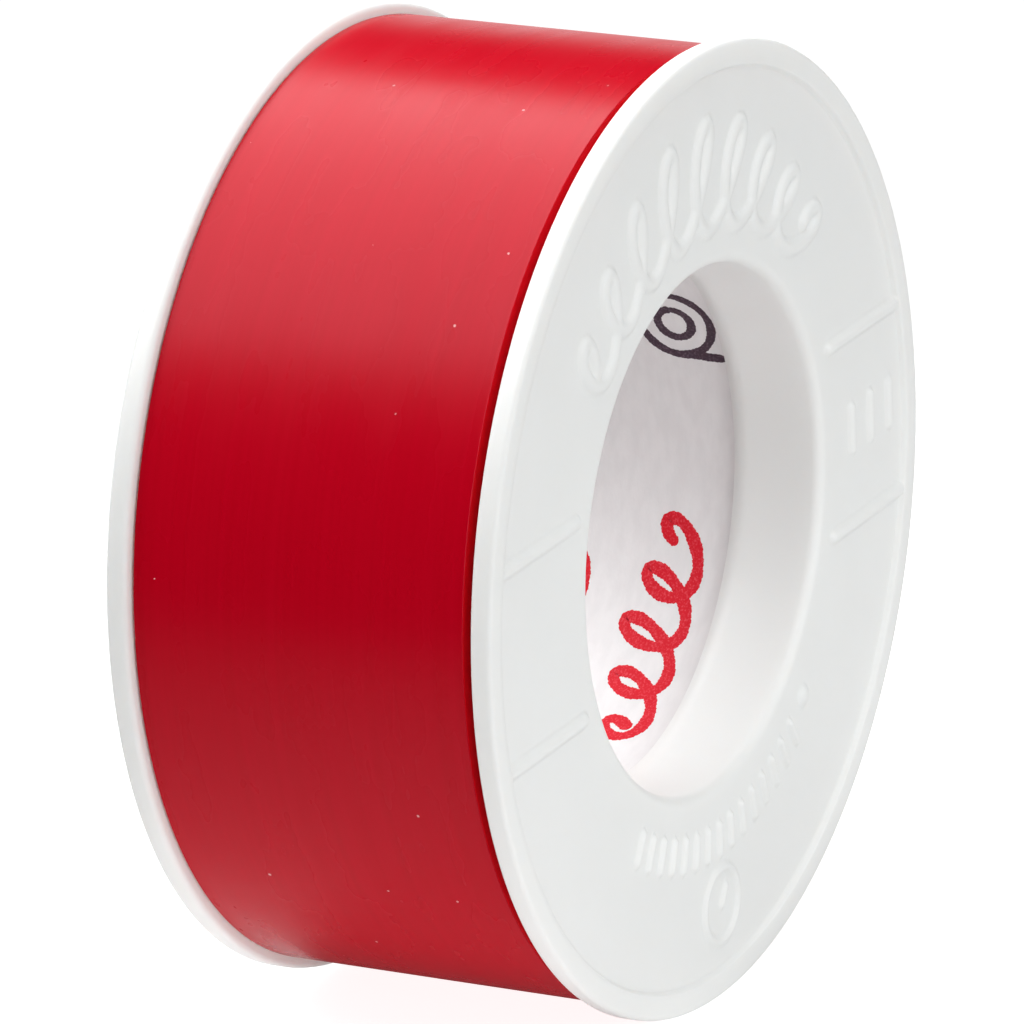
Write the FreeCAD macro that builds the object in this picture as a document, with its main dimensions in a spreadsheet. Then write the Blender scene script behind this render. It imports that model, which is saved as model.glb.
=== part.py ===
"""Electrical tape roll: a wound paper core, a length of adhesive tape and two moulded side discs.

Row frame: the origin is the roll's centre on its axis, the axis lies along Y, +Z is up and the
front disc faces -Y. Every piece is drawn with its own axis along its body's Z and turned into
place by its Placement. Lengths are in millimetres, angles in degrees.
"""

import FreeCAD, Part
import os

import Sketcher

SHEET = "Sizes"

# Driving dimensions. Each one can be set by itself; what fits another piece is worked out from
# these and a named clearance.
SIZES = {
    # tape
    "tape_width": 19.0,
    "tape_thickness": 0.10,
    "tape_length": 10000.0,
    "tail_length": 24.0,
    "tail_lift": 0.08,
    "tail_gap": 0.30,
    "tail_start_angle": 328.0,
    # paper core
    "core_wall": 3.10,
    "liner_thickness": 0.25,
    "wrap_thickness": 0.25,
    # side discs
    "bore_radius": 14.20,
    "sleeve_wall": 0.95,
    "sleeve_length": 4.50,
    "sleeve_clearance": 0.05,
    "front_gap": 0.64,
    "back_gap": 0.12,
    "rim_stand_out": 0.55,
    "rim_width": 1.60,
    "disc_thickness": 1.21,
    "web_recess": 0.31,
    "lip_fillet": 0.60,
    "rim_outer_fillet": 0.45,
    "rim_inner_fillet": 0.32,
    "recess_fillet": 0.15,
    "sleeve_chamfer": 0.20,
    "front_turn": 5.0,
    "back_turn": 161.0,
    # raised marks on the web
    "mark_height": 0.20,
    "rib_offset": 5.38,
    "rib_start_inset": 0.45,
    "rib_width": 0.55,
    "loop_count": 9,
    "loop_spread": 98.0,
    "loop_inset": 4.40,
    "loop_radius": 2.60,
    "loop_band": 0.80,
    "tick_half_count": 8,
    "tick_half_spread": 33.0,
    "tick_inset": 2.60,
    "tick_length": 1.80,
    "tick_width": 0.36,
    "bar_inset": 2.70,
    "bar_pitch": 2.40,
    "bar_width": 1.25,
    "bar_height": 2.75,
    "dial_inset": 3.30,
    "dial_radius": 2.30,
    "dial_band": 0.44,
    "gate_inset": 2.20,
    "gate_angle": 50.0,
    "gate_radius": 0.60,
}

# Worked-out sizes, written once as expressions over the sheet.
SLEEVE_OUTER = f"({SHEET}.bore_radius + {SHEET}.sleeve_wall)"
CORE_INNER = f"({SLEEVE_OUTER} + {SHEET}.sleeve_clearance)"
LINER_OUTER = f"({CORE_INNER} + {SHEET}.liner_thickness)"
CORE_OUTER = f"({CORE_INNER} + {SHEET}.core_wall)"
WRAP_INNER = f"({CORE_OUTER} - {SHEET}.wrap_thickness)"
# A wound strip fills its own side area: pi (R^2 - r^2) = length x thickness.
WINDING_RADIUS = f"sqrt({CORE_OUTER}^2 + {SHEET}.tape_length * {SHEET}.tape_thickness / pi)"
TURN_INNER = f"({WINDING_RADIUS} - {SHEET}.tape_thickness)"
TAIL_INNER = f"({TURN_INNER} + {SHEET}.tail_lift)"
TAIL_SPAN = f"({SHEET}.tail_length / {WINDING_RADIUS} * 180 / pi)"
GAP_SPAN = f"({SHEET}.tail_gap / {WINDING_RADIUS} * 180 / pi)"
DISC_RADIUS = f"({WINDING_RADIUS} + {SHEET}.rim_stand_out)"
WEB_RADIUS = f"({DISC_RADIUS} - {SHEET}.rim_width)"
# Marks keep their distance from the web's inner edge, and the dial from its outer edge.
WEB_START = f"({SHEET}.bore_radius + {SHEET}.lip_fillet)"
RIB_START = f"({WEB_START} + {SHEET}.rib_start_inset)"
LOOP_CIRCLE = f"({WEB_START} + {SHEET}.loop_inset)"
TICK_CIRCLE = f"({WEB_START} + {SHEET}.tick_inset)"
BAR_START = f"({WEB_START} + {SHEET}.bar_inset)"
GATE_CIRCLE = f"({WEB_START} + {SHEET}.gate_inset)"
DIAL_CIRCLE = f"({WEB_RADIUS} - {SHEET}.dial_inset)"
WEB_FACE = f"({SHEET}.disc_thickness - {SHEET}.web_recess)"
# The core and its tape lie between the discs with a gap at each end, nearer the back one.
DISC_SEAT = f"(({SHEET}.tape_width + {SHEET}.front_gap + {SHEET}.back_gap) / 2)"
WINDING_SHIFT = f"(({SHEET}.front_gap - {SHEET}.back_gap) / 2)"

ALONG_AXIS = FreeCAD.Rotation(FreeCAD.Vector(1, 0, 0), 90)
END_FOR_END = FreeCAD.Rotation(FreeCAD.Vector(0, 0, 1), 180)
BODY_Z = FreeCAD.Vector(0, 0, 1)


def make_sheet(doc):
    """Puts the driving dimensions into a spreadsheet, one aliased cell each."""
    sheet = doc.addObject("Spreadsheet::Sheet", SHEET)
    for row, (alias, value) in enumerate(SIZES.items(), start=1):
        sheet.set(f"A{row}", alias)
        sheet.set(f"B{row}", str(value))
        sheet.setAlias(f"B{row}", alias)
    doc.recompute()
    return sheet


def value_of(sheet, expression):
    """The number that an expression over the sheet comes to now."""
    result = sheet.evalExpression(expression.replace(f"{SHEET}.", ""))
    return float(getattr(result, "Value", result))


def make_body(doc, label):
    """An empty body whose Z axis will be the roll's axis."""
    body = doc.addObject("PartDesign::Body", label)
    body.Label = label
    body.Placement = FreeCAD.Placement(FreeCAD.Vector(), ALONG_AXIS)
    return body


def make_sketch(body, name, role, height=None):
    """A sketch on one of the body's own origin planes, raised by an expression if one is given."""
    sketch = body.newObject("Sketcher::SketchObject", name)
    plane = next(f for f in body.Origin.OriginFeatures if f.Role == role)
    sketch.AttachmentSupport = [(plane, "")]
    sketch.MapMode = "FlatFace"
    if height is not None:
        sketch.setExpression("AttachmentOffset.Base.z", height)
    return sketch


def bind(sketch, constraint, expression):
    """Adds a dimension and ties it to the sheet."""
    index = sketch.addConstraint(constraint)
    sketch.setExpression(f"Constraints[{index}]", expression)


def add_circle(sketch, radius, x=None, y_down=None):
    """A circle of an expression's radius, on the origin or at (x, -y_down)."""
    circle = sketch.addGeometry(Part.Circle(FreeCAD.Vector(1, -1, 0), BODY_Z, 1), False)
    bind(sketch, Sketcher.Constraint("Radius", circle, 1), radius)
    if y_down is None:
        sketch.addConstraint(Sketcher.Constraint("Coincident", circle, 3, -1, 1))
        return
    bind(sketch, Sketcher.Constraint("DistanceY", circle, 3, -1, 1, 1), y_down)
    if x is None:
        sketch.addConstraint(Sketcher.Constraint("PointOnObject", circle, 3, -2))
    else:
        bind(sketch, Sketcher.Constraint("DistanceX", -1, 1, circle, 3, 1), x)


def add_outline(sketch, corners):
    """A closed outline of level and upright lines; returns the index of its first line.

    corners are rough (x, y) places that only set which way each line runs.
    """
    points = [FreeCAD.Vector(x, y, 0) for x, y in corners]
    first = sketch.GeometryCount
    for start, end in zip(points, points[1:] + points[:1]):
        line = sketch.addGeometry(Part.LineSegment(start, end), False)
        way = "Horizontal" if start.y == end.y else "Vertical"
        sketch.addConstraint(Sketcher.Constraint(way, line))
    for step in range(len(points)):
        after = first + (step + 1) % len(points)
        sketch.addConstraint(Sketcher.Constraint("Coincident", first + step, 2, after, 1))
    return first


def right_of_origin(sketch, line, expression):
    """Holds a line's start that far right of the sketch's origin."""
    bind(sketch, Sketcher.Constraint("DistanceX", -1, 1, line, 1, 1), expression)


def above_origin(sketch, line, expression):
    """Holds a line's start that far above the sketch's origin."""
    bind(sketch, Sketcher.Constraint("DistanceY", -1, 1, line, 1, 1), expression)


def below_origin(sketch, line, expression):
    """Holds a line's start that far below the sketch's origin."""
    bind(sketch, Sketcher.Constraint("DistanceY", line, 1, -1, 1, 1), expression)


def make_pad(body, sketch, name, length):
    """Raises a sketch by an expression's length."""
    pad = body.newObject("PartDesign::Pad", name)
    pad.Profile = sketch
    pad.setExpression("Length", length)
    return pad


def polar(body, pad, name, count, angle, backwards=False):
    """Repeats a pad about the body's Z axis: count places spread over the angle."""
    pattern = body.newObject("PartDesign::PolarPattern", name)
    axis = next(f for f in body.Origin.OriginFeatures if f.Role == "Z_Axis")
    pattern.Originals = [pad]
    pattern.Axis = (axis, [""])
    pattern.Reversed = backwards
    pattern.setExpression("Occurrences", count)
    pattern.setExpression("Angle", angle)
    body.Tip = pattern
    return pattern


def make_tube(doc, label, inner, outer, length):
    """A plain tube about the roll's axis, as wide as the tape lies."""
    body = make_body(doc, label)
    sketch = make_sketch(body, f"{label}_section", "XY_Plane")
    add_circle(sketch, inner)
    add_circle(sketch, outer)
    pad = make_pad(body, sketch, f"{label}_pad", length)
    pad.SideType = "Symmetric"
    body.setExpression("Placement.Base.y", WINDING_SHIFT)
    return body


def make_strip(doc, label, inner, start, span):
    """A stretch of tape bent round the roll's axis, from one angle over a span."""
    body = make_body(doc, label)
    sketch = make_sketch(body, f"{label}_section", "XZ_Plane")
    # level bottom, upright outer side, level top, upright inner side
    first = add_outline(sketch, [(20, -8), (21, -8), (21, 8), (20, 8)])
    right_of_origin(sketch, first, inner)
    right_of_origin(sketch, first + 1, f"{inner} + {SHEET}.tape_thickness")
    below_origin(sketch, first, f"{SHEET}.tape_width / 2")
    above_origin(sketch, first + 2, f"{SHEET}.tape_width / 2")
    turn = body.newObject("PartDesign::Revolution", f"{label}_turn")
    turn.Profile = sketch
    turn.ReferenceAxis = (sketch, ["V_Axis"])
    turn.setExpression("Angle", span)
    turned = FreeCAD.Rotation(BODY_Z, start)
    body.Placement = FreeCAD.Placement(FreeCAD.Vector(), ALONG_AXIS.multiply(turned))
    body.setExpression("Placement.Base.y", WINDING_SHIFT)
    return body


def ring_edges(shape, radius, height):
    """Names of the circular edges of that radius at that height along the body's Z."""
    names = []
    for number, edge in enumerate(shape.Edges, start=1):
        curve = edge.Curve
        if not isinstance(curve, Part.Circle):
            continue
        if abs(curve.Radius - radius) < 1e-5 and abs(curve.Center.z - height) < 1e-5:
            names.append(f"Edge{number}")
    return names


def dress_edge(doc, body, sheet, kind, name, size, radius, height):
    """Rounds (Fillet) or breaks (Chamfer) the ring edge at a radius and height."""
    doc.recompute()
    base = body.Tip
    edges = ring_edges(base.Shape, value_of(sheet, radius), value_of(sheet, height))
    if not edges:
        raise ValueError(f"{name}: no ring edge at {radius}, {height}")
    dressed = body.newObject(f"PartDesign::{kind}", name)
    dressed.Base = (base, edges)
    dressed.setExpression("Radius" if kind == "Fillet" else "Size", f"{SHEET}.{size}")
    return dressed


def revolve_disc(body):
    """The disc's turned form: sleeve, web and rim, as one revolved section.

    Body Z is 0 on the face that the tape's edge lies against and points outward.
    """
    sketch = make_sketch(body, "disc_section", "XZ_Plane")
    corners = [(13, -4), (14, -4), (14, 0), (25, 0), (25, 2), (23, 2), (23, 1), (13, 1)]
    first = add_outline(sketch, corners)
    right_of_origin(sketch, first, f"{SHEET}.bore_radius")
    right_of_origin(sketch, first + 1, SLEEVE_OUTER)
    right_of_origin(sketch, first + 3, DISC_RADIUS)
    right_of_origin(sketch, first + 5, WEB_RADIUS)
    below_origin(sketch, first, f"{SHEET}.sleeve_length")
    sketch.addConstraint(Sketcher.Constraint("PointOnObject", first + 2, 1, -1))
    above_origin(sketch, first + 4, f"{SHEET}.disc_thickness")
    above_origin(sketch, first + 6, WEB_FACE)
    turned = body.newObject("PartDesign::Revolution", "disc_turned")
    turned.Profile = sketch
    turned.ReferenceAxis = (sketch, ["V_Axis"])
    turned.Angle = 360.0


def round_disc(doc, body, sheet):
    """The moulding's soft edges: bore lip, rim, recess and the sleeve's lead-in."""
    thickness = f"{SHEET}.disc_thickness"
    bore = f"{SHEET}.bore_radius"
    sleeve_end = f"-{SHEET}.sleeve_length"
    dress_edge(doc, body, sheet, "Fillet", "lip", "lip_fillet", bore, WEB_FACE)
    dress_edge(doc, body, sheet, "Fillet", "rim_outer", "rim_outer_fillet", DISC_RADIUS, thickness)
    dress_edge(doc, body, sheet, "Fillet", "rim_inner", "rim_inner_fillet", DISC_RADIUS, "0")
    dress_edge(doc, body, sheet, "Fillet", "recess_top", "recess_fillet", WEB_RADIUS, thickness)
    dress_edge(doc, body, sheet, "Chamfer", "lead_in", "sleeve_chamfer", SLEEVE_OUTER, sleeve_end)


def raise_ribs(body):
    """Four straight ribs on two lines either side of the bore, each ending in the rim."""
    sketch = make_sketch(body, "rib_outlines", "XY_Plane", WEB_FACE)
    near = f"{SHEET}.rib_offset - {SHEET}.rib_width / 2"
    far = f"{SHEET}.rib_offset + {SHEET}.rib_width / 2"
    upper = add_outline(sketch, [(15, 4), (23, 4), (23, 6), (15, 6)])
    above_origin(sketch, upper, near)
    above_origin(sketch, upper + 2, far)
    lower = add_outline(sketch, [(15, -6), (23, -6), (23, -4), (15, -4)])
    below_origin(sketch, lower, far)
    below_origin(sketch, lower + 2, near)
    for first in (upper, lower):
        right_of_origin(sketch, first, RIB_START)
        right_of_origin(sketch, first + 1, WEB_RADIUS)
    pad = make_pad(body, sketch, "ribs", f"{SHEET}.mark_height")
    polar(body, pad, "ribs_both_sides", "2", "360")


def raise_loops(body):
    """A coil of linked rings on an arc over the bore, the same count each side of its middle."""
    for side, backwards in (("left", False), ("right", True)):
        sketch = make_sketch(body, f"loop_outline_{side}", "XY_Plane", WEB_FACE)
        for inset in ("0", f"{SHEET}.loop_band"):
            ring = sketch.addGeometry(Part.Circle(FreeCAD.Vector(0, 18, 0), BODY_Z, 2), False)
            bind(sketch, Sketcher.Constraint("Radius", ring, 1), f"{SHEET}.loop_radius - {inset}")
            bind(sketch, Sketcher.Constraint("DistanceY", -1, 1, ring, 3, 1), LOOP_CIRCLE)
            sketch.addConstraint(Sketcher.Constraint("PointOnObject", ring, 3, -2))
        pad = make_pad(body, sketch, f"loop_{side}", f"{SHEET}.mark_height")
        count = f"({SHEET}.loop_count + 1) / 2"
        polar(body, pad, f"loops_{side}", count, f"{SHEET}.loop_spread / 2", backwards)


def raise_ticks(body):
    """A row of short radial ticks on an arc under the bore, mirrored about its middle."""
    for side, backwards in (("right", False), ("left", True)):
        sketch = make_sketch(body, f"tick_outline_{side}", "XY_Plane", WEB_FACE)
        first = add_outline(sketch, [(-1, -18), (1, -18), (1, -16), (-1, -16)])
        half_width = f"{SHEET}.tick_width / 2"
        bind(sketch, Sketcher.Constraint("DistanceX", first, 1, -1, 1, 1), half_width)
        right_of_origin(sketch, first + 1, half_width)
        below_origin(sketch, first, f"{TICK_CIRCLE} + {SHEET}.tick_length / 2")
        below_origin(sketch, first + 2, f"{TICK_CIRCLE} - {SHEET}.tick_length / 2")
        pad = make_pad(body, sketch, f"tick_{side}", f"{SHEET}.mark_height")
        count = f"{SHEET}.tick_half_count"
        polar(body, pad, f"ticks_{side}", count, f"{SHEET}.tick_half_spread", backwards)


def raise_bars(body):
    """Three upright bars between the ribs, on the side away from the gate mark's arc."""
    sketch = make_sketch(body, "bar_outlines", "XY_Plane", WEB_FACE)
    for place in range(3):
        first = add_outline(sketch, [(17, -1), (18, -1), (18, 1), (17, 1)])
        left = f"{BAR_START} + {place} * {SHEET}.bar_pitch"
        right_of_origin(sketch, first, left)
        right_of_origin(sketch, first + 1, f"{left} + {SHEET}.bar_width")
        below_origin(sketch, first, f"{SHEET}.bar_height / 2")
        above_origin(sketch, first + 2, f"{SHEET}.bar_height / 2")
    make_pad(body, sketch, "bars", f"{SHEET}.mark_height")


def raise_dial_and_gate(body):
    """The plain mould dial under the ticks, and the round witness of the mould's gate."""
    dial = make_sketch(body, "dial_outline", "XY_Plane", WEB_FACE)
    for radius in (f"{SHEET}.dial_radius", f"{SHEET}.dial_radius - {SHEET}.dial_band"):
        add_circle(dial, radius, y_down=DIAL_CIRCLE)
    add_circle(dial, f"{SHEET}.dial_band", y_down=DIAL_CIRCLE)
    make_pad(body, dial, "dial", f"{SHEET}.mark_height")
    gate = make_sketch(body, "gate_outline", "XY_Plane", WEB_FACE)
    across = f"{GATE_CIRCLE} * cos({SHEET}.gate_angle * 1deg)"
    down = f"{GATE_CIRCLE} * sin({SHEET}.gate_angle * 1deg)"
    add_circle(gate, f"{SHEET}.gate_radius", x=across, y_down=down)
    make_pad(body, gate, "gate_mark", f"{SHEET}.mark_height")


def make_disc(doc, sheet, label, turn, at_front):
    """A side disc: turned form, soft edges and raised marks, then put on its end of the core."""
    body = make_body(doc, label)
    revolve_disc(body)
    round_disc(doc, body, sheet)
    raise_ribs(body)
    raise_loops(body)
    raise_ticks(body)
    raise_bars(body)
    raise_dial_and_gate(body)
    facing = ALONG_AXIS if at_front else END_FOR_END.multiply(ALONG_AXIS)
    turned = FreeCAD.Rotation(BODY_Z, value_of(sheet, f"{SHEET}.{turn}"))
    body.Placement = FreeCAD.Placement(FreeCAD.Vector(), facing.multiply(turned))
    seat = f"-{DISC_SEAT}" if at_front else DISC_SEAT
    body.setExpression("Placement.Base.y", seat)
    return body


def check(doc, bodies):
    """Stops before anything is written if a feature failed or a piece isn't a sound solid."""
    doc.recompute()
    for item in doc.Objects:
        if {"Invalid", "Error"} & set(item.State):
            raise ValueError(f"{item.Name} failed: {item.State}")
    for body in bodies:
        if body.Shape.isNull() or not body.Shape.isValid() or not body.Shape.Solids:
            raise ValueError(f"{body.Label} is not a sound solid")


def main():
    """Builds the roll and writes one STEP file for each piece."""
    doc = FreeCAD.newDocument("TapeRoll")
    sheet = make_sheet(doc)
    width = f"{SHEET}.tape_width"
    tail_start = value_of(sheet, f"{SHEET}.tail_start_angle")
    tail_span = value_of(sheet, TAIL_SPAN)
    turn_start = tail_start + tail_span + value_of(sheet, GAP_SPAN)
    bodies = [
        make_tube(doc, "core_liner", CORE_INNER, LINER_OUTER, width),
        make_tube(doc, "core_plies", LINER_OUTER, WRAP_INNER, width),
        make_tube(doc, "core_wrap", WRAP_INNER, CORE_OUTER, width),
        make_tube(doc, "tape_pack", CORE_OUTER, TURN_INNER, width),
        make_strip(doc, "tape_outer_turn", TURN_INNER, turn_start, f"360 - {TAIL_SPAN} - {GAP_SPAN}"),
        make_strip(doc, "tape_tail", TAIL_INNER, tail_start, TAIL_SPAN),
        make_disc(doc, sheet, "front_disc", "front_turn", at_front=True),
        make_disc(doc, sheet, "back_disc", "back_turn", at_front=False),
    ]
    check(doc, bodies)
    os.makedirs("parts", exist_ok=True)
    for body in bodies:
        body.Shape.exportStep(f"parts/{body.Label}.step")
        box = body.Shape.BoundBox
        print(
            f"{body.Label:16s} volume {body.Shape.Volume:9.2f} mm3, "
            f"X {box.XMin:.2f} to {box.XMax:.2f}, Y {box.YMin:.2f} to {box.YMax:.2f}, "
            f"Z {box.ZMin:.2f} to {box.ZMax:.2f}"
        )


main()
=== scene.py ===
"""Electrical tape roll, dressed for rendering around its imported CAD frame.

The roll stands on its rims with its axis along Y. The front disc faces -Y and +Z is up. Sizes in
the classes are in millimetres; meshes are made in metres. Every surface is a grid of points
worked out as whole numpy arrays.
"""

import logging
import math
from dataclasses import dataclass, field
from enum import Enum

import bpy
import numpy as np
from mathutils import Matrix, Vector


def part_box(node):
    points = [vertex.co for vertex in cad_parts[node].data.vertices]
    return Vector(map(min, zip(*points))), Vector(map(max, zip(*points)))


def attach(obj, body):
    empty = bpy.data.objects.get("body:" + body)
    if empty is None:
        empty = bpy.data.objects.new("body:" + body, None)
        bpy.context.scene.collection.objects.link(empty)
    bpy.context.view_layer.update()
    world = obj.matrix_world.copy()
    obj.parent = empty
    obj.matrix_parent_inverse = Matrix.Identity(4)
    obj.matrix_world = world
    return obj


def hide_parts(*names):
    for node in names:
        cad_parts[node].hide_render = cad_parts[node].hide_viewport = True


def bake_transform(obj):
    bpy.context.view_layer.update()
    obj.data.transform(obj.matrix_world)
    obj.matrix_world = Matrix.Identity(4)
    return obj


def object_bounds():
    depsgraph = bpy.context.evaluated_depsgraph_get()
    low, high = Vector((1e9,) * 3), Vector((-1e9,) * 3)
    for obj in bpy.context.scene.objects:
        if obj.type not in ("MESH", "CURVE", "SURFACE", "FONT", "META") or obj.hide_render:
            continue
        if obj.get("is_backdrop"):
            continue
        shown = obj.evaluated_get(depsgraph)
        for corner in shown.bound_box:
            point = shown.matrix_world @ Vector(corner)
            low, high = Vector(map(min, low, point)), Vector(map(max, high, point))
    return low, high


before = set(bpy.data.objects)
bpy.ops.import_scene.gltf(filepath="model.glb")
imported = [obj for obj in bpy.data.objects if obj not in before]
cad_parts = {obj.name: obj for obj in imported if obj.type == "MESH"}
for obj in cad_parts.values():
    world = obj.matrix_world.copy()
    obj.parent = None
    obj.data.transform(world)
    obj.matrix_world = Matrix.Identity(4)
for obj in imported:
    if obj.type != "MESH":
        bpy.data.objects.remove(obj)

LOG = logging.getLogger("tape_roll")
MM = 0.001
TURN = 2.0 * math.pi


class Side(Enum):
    """Which end of the roll a disc closes."""

    FRONT = -1
    BACK = 1


# Surfaces


def smooth(value: np.ndarray, low: float, high: float) -> np.ndarray:
    """Rises from 0 at low to 1 at high as 3 t^2 - 2 t^3, and is level outside.

    Args:
        value: Where to work it out.
        low: Where the rise starts.
        high: Where it ends; below low for a fall.

    Returns:
        Numbers from 0 to 1, shaped like value.
    """
    share = np.clip((value - low) / (high - low), 0.0, 1.0)
    return share * share * (3.0 - 2.0 * share)


def straight(start: tuple, end: tuple, steps: int) -> np.ndarray:
    """Points on a straight line, without its end: start + (end - start) k / steps.

    Args:
        start: First point.
        end: Where the line goes.
        steps: Number of points.

    Returns:
        An array of steps points.
    """
    share = np.arange(steps)[:, None] / steps
    return np.array(start, float) + share * (np.array(end, float) - np.array(start, float))


def close_ends(steps: int, gap: float) -> np.ndarray:
    """Shares from 0 to 1, evenly set but for two that lie one and four gaps inside each end.

    Args:
        steps: Number of shares.
        gap: The smallest step, as a share.

    Returns:
        The shares, rising.
    """
    close = np.array([0.0, gap, 4.0 * gap])
    inner = np.linspace(0.0, 1.0, steps - 4)[1:-1]
    return np.concatenate([close, inner, 1.0 - close[::-1]])


def arc(centre: tuple, radius: float, first: float, last: float, steps: int) -> np.ndarray:
    """Points on a round corner, without its end: centre + radius (cos a, sin a).

    Args:
        centre: Centre of the corner.
        radius: Its radius.
        first: Angle of the first point, in degrees.
        last: Angle that the arc stops short of, in degrees.
        steps: Number of points.

    Returns:
        An array of steps points.
    """
    angle = np.radians(first + (last - first) * np.arange(steps) / steps)
    return np.array(centre, float) + radius * np.stack([np.cos(angle), np.sin(angle)], -1)


def grid_faces(rows: int, columns: int, rows_close: bool, columns_close: bool) -> np.ndarray:
    """Corner numbers of the four-sided faces of a grid of rows x columns points.

    Args:
        rows: Points down the grid.
        columns: Points across it.
        rows_close: Whether the last row joins the first.
        columns_close: Whether the last column joins the first.

    Returns:
        An array of faces x 4 point numbers, row by row.
    """
    row = np.arange(rows if rows_close else rows - 1)[:, None]
    column = np.arange(columns if columns_close else columns - 1)[None, :]
    below, beside = (row + 1) % rows, (column + 1) % columns
    corners = [row * columns + column, row * columns + beside]
    corners += [below * columns + beside, below * columns + column]
    return np.stack(np.broadcast_arrays(*corners), -1).reshape(-1, 4)


def enclosed_volume(points: np.ndarray, faces: np.ndarray) -> float:
    """Signed volume inside a closed surface: a sixth of the sum of a . (b x c) over triangles.

    Args:
        points: The surface's points.
        faces: Its four-sided faces.

    Returns:
        The volume, positive where the faces point outward.
    """
    a, b, c, d = (points[faces[:, corner]] for corner in range(4))
    first = np.einsum("ij,ij->i", a, np.cross(b, c))
    second = np.einsum("ij,ij->i", a, np.cross(c, d))
    return float((first + second).sum() / 6.0)


def make_piece(
    name: str,
    points: np.ndarray,
    faces: np.ndarray,
    finishes: list,
    uv: np.ndarray | None = None,
    finish_index: np.ndarray | None = None,
) -> bpy.types.Object:
    """Puts a closed surface into a smooth-shaded mesh object at the origin, faces outward.

    Args:
        name: The piece's name.
        points: Points in millimetres.
        faces: Four corner numbers for each face.
        finishes: Materials of the piece.
        uv: A pair of numbers for each corner of each face.
        finish_index: Which finish each face has.

    Returns:
        The new object.
    """
    if enclosed_volume(points, faces) < 0.0:
        faces = faces[:, ::-1]
        uv = None if uv is None else uv[:, ::-1]
    mesh = bpy.data.meshes.new(name)
    mesh.vertices.add(len(points))
    mesh.vertices.foreach_set("co", (points * MM).astype(np.float32).ravel())
    mesh.loops.add(faces.size)
    mesh.loops.foreach_set("vertex_index", faces.astype(np.int32).ravel())
    mesh.polygons.add(len(faces))
    mesh.polygons.foreach_set("loop_start", np.arange(0, faces.size, 4, dtype=np.int32))
    mesh.polygons.foreach_set("loop_total", np.full(len(faces), 4, np.int32))
    mesh.update(calc_edges=True)
    mesh.polygons.foreach_set("use_smooth", np.ones(len(faces), bool))
    if finish_index is not None:
        mesh.polygons.foreach_set("material_index", finish_index.astype(np.int32))
    if uv is not None:
        layer = mesh.uv_layers.new(name="UVMap")
        layer.data.foreach_set("uv", uv.astype(np.float32).ravel())
    mesh.validate()
    piece = bpy.data.objects.new(name, mesh)
    bpy.context.scene.collection.objects.link(piece)
    for finish in finishes:
        piece.data.materials.append(finish)
    LOG.info("%s: %d faces", name, len(faces))
    return piece


def grid_uv(rows: int, columns: int, rows_close: bool, columns_close: bool) -> np.ndarray:
    """A pair (share along the columns, share down the rows) for each corner of a grid's faces.

    Args:
        rows: Points down the grid.
        columns: Points across it.
        rows_close: Whether the last row joins the first.
        columns_close: Whether the last column joins the first.

    Returns:
        An array of faces x 4 x 2 numbers from 0 to 1, which match grid_faces.
    """
    row_spans = rows if rows_close else rows - 1
    column_spans = columns if columns_close else columns - 1
    row, column = np.meshgrid(np.arange(row_spans), np.arange(column_spans), indexing="ij")
    across = np.stack([column, column + 1, column + 1, column], -1) / column_spans
    down = np.stack([row, row, row + 1, row + 1], -1) / row_spans
    return np.stack([across, down], -1).reshape(-1, 4, 2)


def on_roll(radius: np.ndarray, angle: np.ndarray, along: np.ndarray) -> np.ndarray:
    """Points at a radius and angle about the roll's axis: (r cos a, y, r sin a).

    Args:
        radius: Distance from the axis.
        angle: Angle in radians, 0 on +X and a quarter turn at the top.
        along: Place along the axis.

    Returns:
        An array of points.
    """
    parts = np.broadcast_arrays(radius * np.cos(angle), along, radius * np.sin(angle))
    return np.stack(parts, -1)


# Shader groups that several finishes share


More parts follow.
